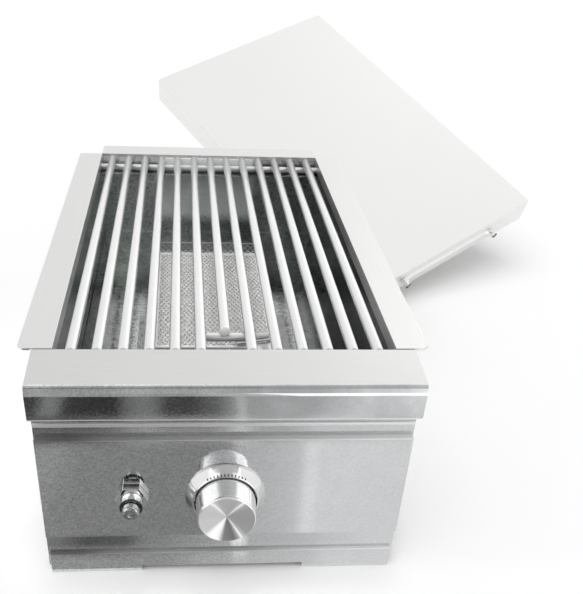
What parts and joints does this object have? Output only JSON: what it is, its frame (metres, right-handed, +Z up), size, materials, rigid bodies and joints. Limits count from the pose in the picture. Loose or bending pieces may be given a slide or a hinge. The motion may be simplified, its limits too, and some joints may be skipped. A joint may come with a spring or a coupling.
{
  "type": "built-in side burner",
  "caption": "Drop-in gas side burner: steel box with wings, round-bar grate, infrared burner, control knob, push igniter and a lift-off lid standing behind it.",
  "frame": {"origin": "centre of the bottom pan's underside, on the plane that the feet of the kick plate share", "axes": "+X to the user's right, +Y away from the user, +Z up; the knob faces -Y"},
  "size_m": [0.6811, 1.1164, 0.3128],
  "materials": {
    "pale_steel": "brushed",
    "brushed_steel": "brushed",
    "mirror_steel": "polished",
    "polished_rod": "polished",
    "chrome": "polished",
    "zinc": "plated",
    "brass": "bright",
    "ceramic": "matt",
    "black_plastic": "matt"
  },
  "bodies": {
    "casing": {"left_wing": "pale_steel", "right_wing": "pale_steel", "left_side_panel": "brushed_steel", "right_side_panel": "brushed_steel", "base_pan": "brushed_steel", "rear_panel": "brushed_steel", "front_deck": "brushed_steel", "front_panel": "brushed_steel", "control_panel": "brushed_steel", "kick_plate": "brushed_steel", "firebox_liner": "mirror_steel", "liner_side_left": "mirror_steel", "liner_side_right": "mirror_steel", "front_grate_ledge": "mirror_steel", "rear_grate_ledge": "mirror_steel", "burner_box": "brushed_steel", "ceramic_tile_front": "ceramic", "ceramic_tile_rear": "ceramic", "burner_screen": "brushed_steel", "burner_bracket_left": "brushed_steel", "burner_bracket_right": "brushed_steel", "burner_bracket_rear": "brushed_steel", "bracket_screw_left": "chrome", "bracket_screw_right": "chrome", "bracket_screw_rear": "chrome", "knob_bezel": "chrome", "valve_bonnet": "zinc", "return_spring": "chrome", "valve_screw_left": "zinc", "valve_screw_right": "zinc", "gas_valve": "zinc", "orifice_spud": "brass", "venturi_tube": "zinc", "valve_inlet_nut": "brass", "gas_pipe": "brass", "inlet_fitting": "brass", "inlet_locknut": "brass", "igniter_body": "black_plastic", "igniter_collar": "chrome", "igniter_nut": "chrome", "igniter_ring": "black_plastic", "electrode_holder": "polished_rod", "electrode_insulator": "ceramic", "electrode_wire": "polished_rod", "ignition_lead": "black_plastic"},
    "push_collar": {"stem_collar": "brass"},
    "knob": {"knob": "chrome", "valve_stem": "zinc"},
    "igniter_button": {"igniter_button": "chrome"},
    "air_shutter": {"air_shutter": "zinc"},
    "grate": {"grate": "polished_rod"},
    "lid": {"lid_shell": "pale_steel", "lid_handle": "chrome", "handle_screw_left": "chrome", "handle_screw_right": "chrome"}
  },
  "joints": [
    {"name": "knob_push", "type": "slide", "parent": "casing", "child": "push_collar", "axis": [0, 1, 0], "range_m": [0, 0.003], "stiffness_N_per_m": 800, "springref_m": -0.002, "deforming": ["return_spring"]},
    {"name": "knob_turn", "type": "hinge", "parent": "push_collar", "child": "knob", "pos_m": [0, -0.26525, 0.094], "axis": [0, -1, 0], "range_deg": [0, 210]},
    {"name": "igniter_push", "type": "slide", "parent": "casing", "child": "igniter_button", "axis": [0, 1, 0], "range_m": [0, 0.0045], "stiffness_N_per_m": 600, "springref_m": -0.002},
    {"name": "air_shutter_turn", "type": "hinge", "parent": "casing", "child": "air_shutter", "pos_m": [0, -0.2, 0.094], "axis": [0, 1, 0], "range_deg": [0, 60]},
    {"name": "grate_lift", "type": "slide", "parent": "casing", "child": "grate", "axis": [0, 0, 1], "range_m": [0, 0.12]},
    {"name": "lid_lift", "type": "slide", "parent": "casing", "child": "lid", "axis": [0, 0, 1], "range_m": [0, 0.2]}
  ]
}
